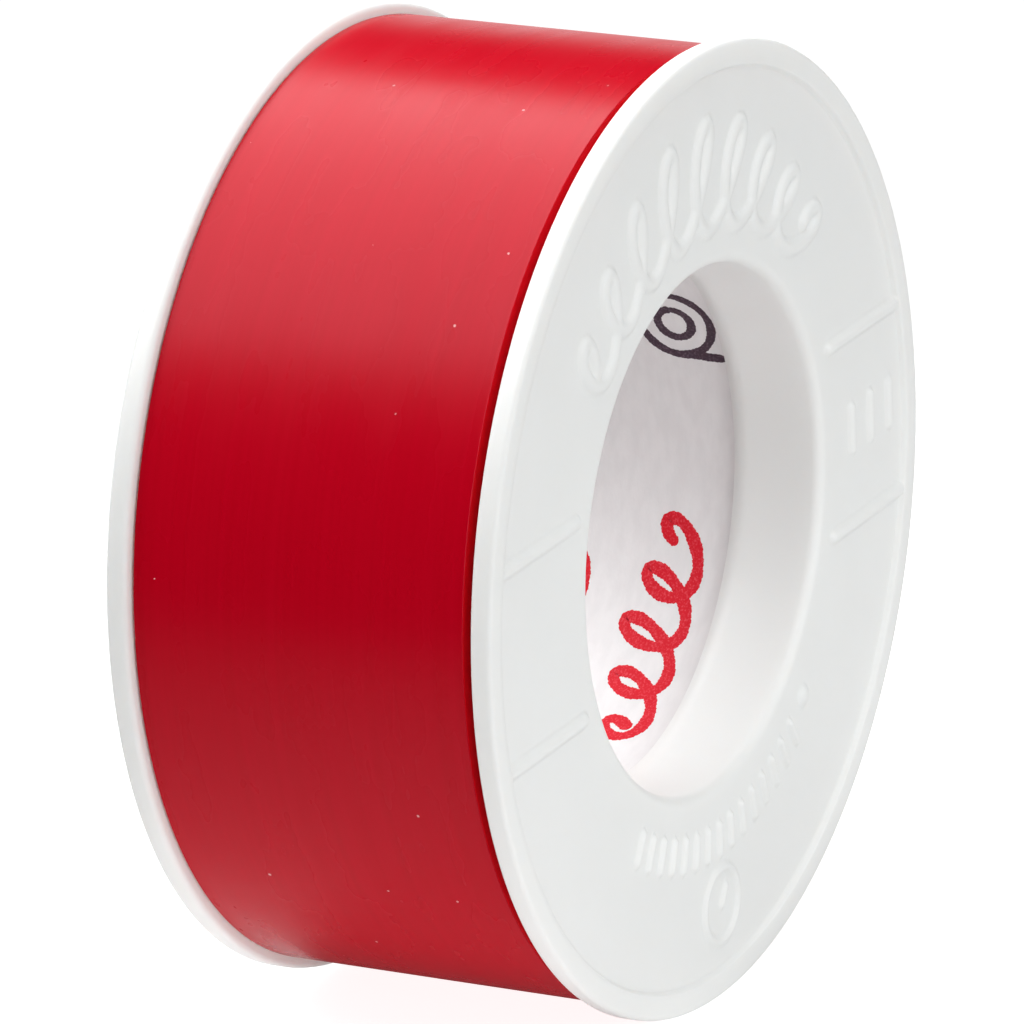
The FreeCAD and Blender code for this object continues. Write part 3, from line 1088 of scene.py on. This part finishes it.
@dataclass
class WoundTape:
    """The wound turns of the tape. The outside is a spiral that steps down one thickness."""

    thickness: float = 0.10
    core_radius: float = 18.30
    edge: float = 0.035
    around: int = 960
    across: int = 26
    down_side: int = 32
    unevenness: float = 0.012
    raggedness: float = 0.012
    side_start: float = 0.2
    end_gap: float = 0.0001

    def root_angle(self) -> float:
        """Angle in radians where the free end leaves the winding: where its box is highest.

        Returns:
            The angle.
        """
        low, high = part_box("tape_tail")
        across = math.sqrt(max(self.tail_radius() ** 2 - (high.z / MM) ** 2, 0.0))
        return math.atan2(high.z / MM, across)

    def tail_radius(self) -> float:
        """Outer radius of the lifted free end, in millimetres."""
        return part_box("tape_tail")[1].x / MM

    def outer_radius(self) -> float:
        """Outer radius of the last turn, in millimetres."""
        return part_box("tape_outer_turn")[1].z / MM

    def spiral(self, angle: np.ndarray) -> np.ndarray:
        """Outer radius: it falls by one thickness over a full turn from the free end's root.

        Args:
            angle: Angle past the root, 0 to a full turn.

        Returns:
            Radii in millimetres.
        """
        return self.outer_radius() - self.thickness * angle / TURN

    def rows_across(self, front: float, back: float) -> np.ndarray:
        """Places across the tape, with two close rows inside each rounded edge.

        Args:
            front: Front edge, in millimetres.
            back: Back edge.

        Returns:
            The places, from one edge's round to the other's.
        """
        close = np.array([0.0, 0.02, 0.06])
        inner = np.linspace(front + 0.25, back - 0.25, self.across - 6)
        return np.concatenate([front + self.edge + close, inner, back - self.edge - close[::-1]])

    def waviness(self, angle: np.ndarray, along: np.ndarray) -> np.ndarray:
        """Slow unevenness of the wound surface: a few sine waves around and across it.

        Args:
            angle: Angle past the root.
            along: Place along the axis, in millimetres.

        Returns:
            Small radius changes in millimetres, never above 0.
        """
        wave = np.sin(3 * angle + 0.5 + 0.13 * along) + 0.6 * np.sin(7 * angle + 1.9)
        wave = wave + 0.5 * np.sin(0.55 * along + 2.0 * np.sin(2 * angle))
        return self.unevenness * (wave / 2.1 - 1.0) / 2.0

    def build(self, finishes: Finishes) -> bpy.types.Object:
        """Makes the winding: outside, both sides and the seat on the core, as one closed ring.

        Args:
            finishes: The roll's finishes.

        Returns:
            The winding, riding on the roll.
        """
        low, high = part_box("tape_pack")
        front, back = low.y / MM, high.y / MM
        across = np.stack([self.rows_across(front, back), np.zeros(self.across)], -1)[:-1]
        corner = np.array([0.0, 0.35, 0.75])
        full = self.outer_radius() - self.core_radius
        depth = np.linspace(self.side_start, full, self.down_side)
        out = [across, np.stack([back - self.edge * (1 - corner), -self.edge * corner**2], -1)]
        out += [np.stack([np.full(self.down_side, back), -depth], -1)]
        out += [np.stack([np.full(self.down_side, front), -depth[::-1]], -1)]
        corner = corner[::-1]
        out += [np.stack([front + self.edge * (1 - corner), -self.edge * corner**2], -1)]
        section = np.concatenate(out)
        past = TURN * close_ends(self.around, self.end_gap)
        along, drop = section[:, 0][:, None], section[:, 1][:, None]
        outside = np.exp(drop / 0.4)
        wound = (self.spiral(past) - self.core_radius) * np.ones_like(drop)
        radius = self.core_radius + wound * (1.0 + drop / full)
        radius = radius + outside * self.waviness(past, along)
        onto_side = np.clip(-drop / self.side_start, 0.0, 1.0)
        turns = np.sin(9.0 * drop) + np.sin(23.0 * drop + 1.0)
        ragged = self.raggedness * onto_side * (turns - 2.0) / 2.0
        inward = np.where(along > (front + back) / 2.0, ragged, -ragged)
        points = on_roll(radius, self.root_angle() + past, along + inward)
        faces = grid_faces(len(section), self.around, True, False)
        uv = grid_uv(len(section), self.around, True, False)
        rows = np.repeat(np.arange(len(section)), self.around - 1)
        is_side = (rows >= len(across) + len(corner) - 1) & (rows < len(section) - len(corner))
        across_share = (along[:, 0] - front) / (back - front)
        next_share = np.roll(across_share, -1)
        column = np.tile(np.arange(self.around - 1), len(section))
        uv[:, [0, 3], 0] = past[column][:, None] / TURN
        uv[:, [1, 2], 0] = past[column + 1][:, None] / TURN
        uv[:, :2, 1] = across_share[rows][:, None]
        uv[:, 2:, 1] = next_share[rows][:, None]
        step = self.close_step(len(section))
        points = points.reshape(-1, 3)
        faces = np.concatenate([faces, step])
        uv = np.concatenate([uv, np.zeros((len(step), 4, 2))])
        index = np.concatenate([is_side.astype(int), np.zeros(len(step), int)])
        films = [finishes.film, finishes.wound_edge]
        piece = make_piece("tape_winding", points, faces, films, uv, index)
        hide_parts("tape_pack", "tape_outer_turn")
        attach(piece, "roll")
        return piece

    def close_step(self, rows: int) -> np.ndarray:
        """Faces that join the spiral's last column to its first, down the step at the root.

        Args:
            rows: Points in the section.

        Returns:
            An array of faces x 4 point numbers.
        """
        row = np.arange(rows)
        after = (row + 1) % rows
        last = self.around - 1
        corners = [row * self.around + last, row * self.around]
        corners += [after * self.around, after * self.around + last]
        return np.stack(corners, -1)


@dataclass
class TapeTail:
    """The free end of the tape, lying on the turn below and bending where it is peeled."""

    winding: WoundTape
    under_gap: float = 0.012
    lift: float = 0.045
    along: int = 160
    across: int = 26
    bend: float = 5.0
    end_gap: float = 0.001

    def build(self, finishes: Finishes) -> bpy.types.Object:
        """Makes the strip: radius = last turn + lift x share^4, as thick as the tape.

        Args:
            finishes: The roll's finishes.

        Returns:
            The strip.
        """
        low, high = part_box("tape_tail")
        front, back = low.y / MM, high.y / MM
        root = self.winding.root_angle()
        across = math.sqrt(self.winding.outer_radius() ** 2 - (low.z / MM) ** 2)
        end = math.atan2(low.z / MM, across)
        edge = self.winding.edge
        share = close_ends(self.along, self.end_gap)[:, None]
        angle = root + (end - root) * share
        place = self.winding.rows_across(front - edge, back + edge)
        inset = np.zeros(self.across)
        inset[[0, -1]] = 0.5 * edge
        outer = self.winding.outer_radius() + self.lift * share**4
        outer = outer + self.winding.waviness(np.zeros_like(share), place) * (1.0 - share)
        thick = self.winding.thickness - self.under_gap
        top = on_roll(outer - inset, angle, place)
        under = on_roll(outer - thick, angle, place[::-1])
        points = np.concatenate([top, under], 1)
        columns = 2 * self.across
        faces = grid_faces(self.along, columns, False, True)
        uv = grid_uv(self.along, columns, False, True)
        width_share = np.concatenate([place - front, (place - front)[::-1]]) / (back - front)
        column = np.tile(np.arange(columns), self.along - 1)
        swapped = np.stack([uv[..., 1], uv[..., 0]], -1)
        row = np.repeat(np.arange(self.along - 1), columns)
        swapped[:, [0, 1], 0] = share[row]
        swapped[:, [2, 3], 0] = share[row + 1]
        swapped[:, [0, 3], 1] = width_share[column][:, None]
        swapped[:, [1, 2], 1] = width_share[(column + 1) % columns][:, None]
        swapped[..., 0] *= -(end - root) / TURN
        swapped[..., 0] = 1.0 - swapped[..., 0]
        caps = [self.cap(0), self.cap(self.along - 1)[:, ::-1]]
        faces = np.concatenate([faces, *caps])
        uv = np.concatenate([swapped, np.zeros((sum(map(len, caps)), 4, 2))])
        piece = make_piece("tape_free_end", points.reshape(-1, 3), faces, [finishes.film], uv)
        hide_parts("tape_tail")
        radius = self.winding.outer_radius()
        start = on_roll(np.array(radius), np.array(root), np.array(0.0)) * MM
        stop = on_roll(np.array(radius), np.array(root - self.bend / radius), np.array(0.0)) * MM
        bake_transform(piece)
        return piece

    def cap(self, row: int) -> np.ndarray:
        """Faces across the strip's cut end, each between the top and the underside.

        Args:
            row: The grid's row at that end.

        Returns:
            An array of faces x 4 point numbers.
        """
        first = row * 2 * self.across
        top = np.arange(self.across - 1)
        under = 2 * self.across - 1 - top
        return first + np.stack([top + 1, top, under, under - 1], -1)


# Paper core and its print


@dataclass
class PaperCore:
    """The wound paper core: a printed inner ply and the plain board that carries it."""

    seam_width: float = 0.35
    seam_depth: float = 0.10
    seam_slope: float = 0.62
    seam_angle: float = 205.0
    around: int = 480
    across: int = 60

    def ring(self, inner: np.ndarray, outer: float, span: tuple, across: int) -> tuple:
        """A closed tube whose inner radius is given at each of its points.

        Args:
            inner: Inner radii, across x around.
            outer: Outer radius.
            span: First and last place along the axis.
            across: Rows along the inner wall.

        Returns:
            The tube's points and faces.
        """
        angle = np.arange(self.around) / self.around * TURN
        inside = np.linspace(span[0], span[1], across)[:, None]
        outside = np.array([span[1], span[1] - 0.5, span[0] + 0.5, span[0]])[:, None]
        walls = [on_roll(inner, angle, inside), on_roll(np.array(outer), angle, outside)]
        points = np.concatenate(walls)
        return points.reshape(-1, 3), grid_faces(len(points), self.around, True, True)

    def build(self, finishes: Finishes) -> list:
        """Makes the inner ply with its spiral butt seam, and the board round it.

        Args:
            finishes: The roll's finishes.

        Returns:
            Both pieces, riding on the roll.
        """
        low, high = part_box("core_liner")
        span = (low.y / MM, high.y / MM)
        inner, outer = self.liner_radius(), high.z / MM
        angle = np.arange(self.around) / self.around * TURN
        place = np.linspace(span[0], span[1], self.across)[:, None]
        # distance from the seam's helix, wrapped to half a turn either way
        off = (angle - math.radians(self.seam_angle) - self.seam_slope * place / inner) * inner
        off = (off + math.pi * inner) % (TURN * inner) - math.pi * inner
        radii = inner + self.seam_depth * (1.0 - smooth(np.abs(off), 0.0, self.seam_width))
        points, faces = self.ring(radii, outer - 0.002, span, self.across)
        liner = make_piece("core_inner_ply", points, faces, [finishes.paper])
        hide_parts("core_liner")
        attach(liner, "roll")
        board_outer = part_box("core_wrap")[1].z / MM
        points, faces = self.ring(np.full((4, 1), outer + 0.002), board_outer - 0.002, span, 4)
        board = make_piece("core_board_tube", points, faces, [finishes.board])
        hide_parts("core_plies", "core_wrap")
        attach(board, "roll")
        return [liner, board]

    @staticmethod
    def liner_radius() -> float:
        """Inner radius of the printed ply, in millimetres: the smallest in its mesh.

        Returns:
            The radius.
        """
        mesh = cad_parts["core_liner"].data
        places = np.zeros(len(mesh.vertices) * 3, np.float32)
        mesh.vertices.foreach_get("co", places)
        places = places.reshape(-1, 3)
        return float(np.hypot(places[:, 0], places[:, 2]).min()) / MM


@dataclass
class CorePrint:
    """Print inside the core: red coil loops along its run, and a dark plain roll sign."""

    core: PaperCore
    loops: CoilMotif = CoilMotif(4.5, 3.10, 1.30, 1.45, -0.24, 1.0, 0.40, 0.20)
    repeats: int = 3
    first_angle: float = -41.0
    row_places: tuple = (-3.55, 3.05)
    row_offset: float = -5.5
    stroke: float = 0.36
    sign_angle: float = 71.0
    sign_rise: float = 1.15
    sign_stroke: float = 0.25
    sign_radius: float = 2.15
    sign_inner: float = 0.46
    sign_end: float = 1.25
    ink: float = 0.010
    first_lift: float = 0.006
    band_section: tuple = (
        (1.0, 0.5), (0.9, 1.0), (-0.9, 1.0), (-1.0, 0.5), (-1.0, -4.0), (1.0, -4.0)
    )

    def ribbon(self, line: np.ndarray, half_width: float, seed: float, lift: float) -> tuple:
        """A thin inked band along a line on the core's wall, with a slightly rough edge.

        The half width varies as 1 + 0.10 sin(2.6 s) + 0.04 sin(9 s) + 0.05 sin(23 s)
        + 0.04 sin(41 s), with s the place along it, and narrows to round ends.

        Args:
            line: Points x (run round the wall, place along the axis), in millimetres.
            half_width: Half of the stroke.
            seed: Shifts the roughness.
            lift: How far this band stands in from the wall at its start.

        Returns:
            The band's points and faces, closed all round.
        """
        step = np.gradient(line, axis=0)
        length = np.hypot(step[:, 0], step[:, 1])[:, None]
        side = np.stack([-step[:, 1], step[:, 0]], -1) / np.maximum(length, 1e-9)
        travelled = np.cumsum(length[:, 0])
        rough = 1.0 + 0.10 * np.sin(2.6 * travelled + seed) + 0.04 * np.sin(9.0 * travelled)
        rough = rough + 0.05 * np.sin(23.0 * travelled + seed) + 0.04 * np.sin(41.0 * travelled)
        from_end = np.minimum(travelled - travelled[0], travelled[-1] - travelled)
        from_end = np.clip(from_end / half_width, 0.02, 1.0)
        capped = np.sqrt(1.0 - (1.0 - from_end) ** 2)
        half = (half_width * rough * capped)[:, None]
        radius = self.core.liner_radius()
        rise = lift + self.ink * np.linspace(0.0, 1.0, len(line))
        rows = []
        for reach, depth in self.band_section:
            edge = line + side * half * reach
            rows.append(on_roll(radius - rise * depth, edge[:, 0] / radius, edge[:, 1]))
        points = np.stack(rows, 1)
        corners = len(self.band_section)
        faces = grid_faces(len(line), corners, False, True)
        last = corners * (len(line) - 1)
        caps = np.array([[3, 2, 1, 0], [5, 4, 3, 0]])
        caps = np.concatenate([caps, caps[:, ::-1] + last])
        return points.reshape(-1, 3), np.concatenate([faces, caps])

    def join(self, name: str, bands: list, finish: bpy.types.Material) -> bpy.types.Object:
        """Makes one piece of several bands.

        Args:
            name: The piece's name.
            bands: Pairs of points and faces.
            finish: The ink.

        Returns:
            The piece, riding on the roll.
        """
        first = np.cumsum([0] + [len(points) for points, _ in bands[:-1]])
        points = np.concatenate([points for points, _ in bands])
        faces = np.concatenate([faces + start for (_, faces), start in zip(bands, first)])
        piece = make_piece(name, points, faces, [finish])
        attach(piece, "roll")
        return piece

    def build(self, finishes: Finishes) -> list:
        """Makes the red loops and the dark signs, repeated round the wall in two rows.

        Args:
            finishes: The roll's finishes.

        Returns:
            Both pieces.
        """
        radius = self.core.liner_radius()
        loops, signs = [], []
        for row, place in enumerate(self.row_places):
            for turn in range(self.repeats):
                at = self.first_angle + row * self.row_offset + turn * 360.0 / self.repeats
                run = math.radians(at) * radius
                coil = self.loops.line(800) + (run, place)
                loops.append(self.ribbon(coil, self.stroke, row + 2.0 * turn, self.first_lift))
                sign_run = run + math.radians(self.sign_angle) * radius
                signs += self.sign(np.array([sign_run, place + self.sign_rise]))
        red = self.join("core_print_loops", loops, finishes.red_ink)
        dark = self.join("core_print_signs", signs, finishes.dark_ink)
        return [red, dark]

    def sign(self, centre: np.ndarray) -> list:
        """A plain sign of a tape roll: two rings and the tape's straight end.

        Args:
            centre: Its place on the wall.

        Returns:
            Its bands.
        """
        angle = np.linspace(0.0, 1.02 * TURN, 240)[:, None]
        around = self.sign_radius * np.concatenate([np.cos(angle), np.sin(angle)], -1)
        end = np.linspace(0.0, 1.0, 60)[:, None]
        tail = np.array([-1.0, 0.0]) + end * np.array([0.0, -self.sign_end])
        lines = [around, self.sign_inner * around, self.sign_radius * tail]
        return [
            self.ribbon(centre + line, self.sign_stroke, 1.0 + number, self.first_lift)
            for number, line in enumerate(lines)
        ]


# Studio


@dataclass(frozen=True)
class Softbox:
    """A flat square-on light that faces the roll."""

    name: str
    place: tuple
    size: tuple
    radiance: float

    def build(self) -> None:
        """Adds the light; its power is radiance x pi x area, so size doesn't change its look."""
        data = bpy.data.lights.new(self.name, "AREA")
        data.shape = "RECTANGLE"
        data.size, data.size_y = self.size
        data.energy = self.radiance * math.pi * self.size[0] * self.size[1]
        light = bpy.data.objects.new(self.name, data)
        light.location = self.place
        light.rotation_euler = (-Vector(self.place)).to_track_quat("-Z", "Y").to_euler()
        bpy.context.scene.collection.objects.link(light)


@dataclass
class Studio:
    """Pale floor, pale surroundings, soft lights and the camera."""

    azimuth: float = -63.25
    elevation: float = 14.39
    distance: float = 18.71
    aim: tuple = (-0.0284, -0.0089)
    lens: float = 322.2
    floor_seen: float = 0.86
    floor_glow: float = 0.05
    floor_fade: tuple = ((0.03, -0.09, 0.0), 0.12, 0.20)
    # pools where the floor glows for diffuse rays only: painted glow that lights the tape's lower
    # side from below
    glow_pools: tuple = (
        (0.27, ((-0.005, -0.028, 0.0), 0.022, 0.062)),
        (0.46, ((-0.030, -0.002, 0.0), 0.012, 0.042)),
    )
    lights: tuple = (
        Softbox("top_softbox", (-0.03, 0.30, 0.42), (0.76, 0.44), 4.9),
        Softbox("top_front_softbox", (-0.03, -0.16, 0.47), (0.80, 0.40), 1.1),
        Softbox("front_fill", (-0.15, -0.80, 0.35), (1.50, 0.90), 1.27),
        Softbox("left_fill", (-0.70, -0.42, 0.15), (0.60, 0.50), 0.75),
    )

    @staticmethod
    def pool(
        graph: Graph, flat: bpy.types.NodeSocket, centre: tuple, near: float, far: float
    ) -> bpy.types.NodeSocket:
        """A round patch of the ground: 1 up to a near distance from its centre, 0 past a far one.

        Args:
            graph: The floor's graph.
            flat: Place on the ground.
            centre: Centre of the patch, in metres.
            near: Where it starts to fade.
            far: Where it ends.

        Returns:
            The socket of the patch.
        """
        away = graph.node("ShaderNodeVectorMath", operation="DISTANCE")
        graph.feed(away.inputs[0], flat)
        graph.feed(away.inputs[1], centre)
        return graph.math("SUBTRACT", 1.0, graph.band(away.outputs["Value"], near, far))

    def floor(self, level: float) -> bpy.types.Object:
        """A pale floor under the roll. It glows in pools beside the roll for diffuse rays only:
        painted light that lights the tape's lower side from below.

        Args:
            level: Its height, in metres.

        Returns:
            The floor, marked as stage.
        """
        reach = 1.6
        corners = [(-reach, -reach), (reach, -reach), (reach, reach), (-reach, reach)]
        mesh = bpy.data.meshes.new("floor")
        mesh.from_pydata([(x, y, level) for x, y in corners], [], [(0, 1, 2, 3)])
        floor = bpy.data.objects.new("floor", mesh)
        bpy.context.scene.collection.objects.link(floor)
        graph, material, shader, where = new_material("pale_floor")
        cloud = graph.noise(where.outputs["Object"], 6.0, 2.0)
        tone = graph.mix(cloud, (0.45, 0.45, 0.45, 1.0), (0.47, 0.47, 0.47, 1.0))
        graph.feed(shader.inputs["Base Color"], tone)
        flat = graph.stretch(where.outputs["Object"], (1.0, 1.0, 0.0))
        graph.feed(shader.inputs["Alpha"], self.pool(graph, flat, *self.floor_fade))
        shader.inputs["Emission Color"].default_value = (1.0, 1.0, 1.0, 1.0)
        path = graph.node("ShaderNodeLightPath")
        seen = graph.math("MULTIPLY", path.outputs["Is Camera Ray"], self.floor_seen)
        # painted glow: in these pools the floor lights the roll from below, unseen by the camera
        pools = [
            graph.math("MULTIPLY", self.pool(graph, flat, *patch), glow)
            for glow, patch in self.glow_pools
        ]
        hidden_glow = graph.math("MULTIPLY", graph.math("ADD", *pools), path.outputs["Is Diffuse Ray"])
        lit = graph.math("ADD", graph.math("ADD", seen, hidden_glow), self.floor_glow)
        graph.feed(shader.inputs["Emission Strength"], lit)
        shader.inputs["Roughness"].default_value = 0.8
        mesh.materials.append(material)
        floor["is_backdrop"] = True
        return floor

    @staticmethod
    def surroundings() -> None:
        """White to the camera; to everything else a soft grey that is brighter near the ground."""
        world = bpy.data.worlds.new("studio")
        world.use_nodes = True
        bpy.context.scene.world = world
        graph = Graph(world.node_tree)
        where = graph.node("ShaderNodeTexCoord")
        towards = graph.node("ShaderNodeVectorMath", operation="DOT_PRODUCT")
        graph.feed(towards.inputs[0], where.outputs["Generated"])
        graph.feed(towards.inputs[1], (0.87, 0.44, -0.10))
        backdrop = graph.band(towards.outputs["Value"], 0.90, 0.97)
        parts = graph.node("ShaderNodeSeparateXYZ")
        graph.feed(parts.inputs[0], where.outputs["Generated"])
        front = graph.band(graph.math("MULTIPLY", parts.outputs["Y"], -1.0), 0.0, 0.6)
        soft = graph.math("ADD", graph.math("MULTIPLY", backdrop, 0.8), 0.02)
        soft = graph.math("ADD", soft, graph.math("MULTIPLY", front, 0.08))
        light = graph.node("ShaderNodeBackground")
        graph.feed(light.inputs["Strength"], soft)
        seen = graph.node("ShaderNodeBackground")
        seen.inputs["Strength"].default_value = 1.05
        for shade in (light, seen):
            shade.inputs["Color"].default_value = (1.0, 1.0, 1.0, 1.0)
        path = graph.node("ShaderNodeLightPath")
        choice = graph.node("ShaderNodeMixShader")
        graph.feed(choice.inputs[0], path.outputs["Is Camera Ray"])
        graph.feed(choice.inputs[1], light.outputs[0])
        graph.feed(choice.inputs[2], seen.outputs[0])
        output = graph.node("ShaderNodeOutputWorld")
        graph.feed(output.inputs["Surface"], choice.outputs[0])

    def camera(self, disc_radius: float) -> None:
        """The camera: it looks along the given azimuth and elevation, aimed beside the centre.

        Args:
            disc_radius: The discs' radius in metres, which the distances are counted in.
        """
        azimuth, elevation = math.radians(self.azimuth), math.radians(self.elevation)
        back = Vector(
            (
                math.sin(azimuth) * math.cos(elevation),
                -math.cos(azimuth) * math.cos(elevation),
                math.sin(elevation),
            )
        )
        right = Vector((math.cos(azimuth), math.sin(azimuth), 0.0))
        up = back.cross(right)
        data = bpy.data.cameras.new("camera")
        data.lens = self.lens
        data.sensor_width = 36.0
        data.clip_start, data.clip_end = 0.01, 20.0
        camera = bpy.data.objects.new("camera", data)
        aim = (right * self.aim[0] + up * self.aim[1]) * disc_radius
        camera.location = back * self.distance * disc_radius + aim
        camera.rotation_euler = back.to_track_quat("Z", "Y").to_euler()
        bpy.context.scene.collection.objects.link(camera)
        bpy.context.scene.camera = camera

    def build(self) -> None:
        """Sets up the whole studio round the roll."""
        low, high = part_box("front_disc")
        self.floor(low.z)
        self.surroundings()
        for light in self.lights:
            light.build()
        self.camera(high.z)
        bpy.context.scene.view_settings.view_transform = "Standard"


def corners() -> list:
    """Lowest and highest corner of what is shown, as plain lists of numbers."""
    return [list(corner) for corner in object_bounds()]


def main() -> None:
    """Builds every piece in order."""
    logging.basicConfig(level=logging.INFO, format="%(name)s: %(message)s")
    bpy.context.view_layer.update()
    finishes = Finishes()
    winding = WoundTape()
    winding.build(finishes)
    TapeTail(winding).build(finishes)
    core = PaperCore()
    core.build(finishes)
    CorePrint(core).build(finishes)
    SideDisc(Side.FRONT, turn=5.0).build(finishes)
    SideDisc(Side.BACK, turn=161.0).build(finishes)
    Studio().build()


if __name__ == "__main__":
    main()
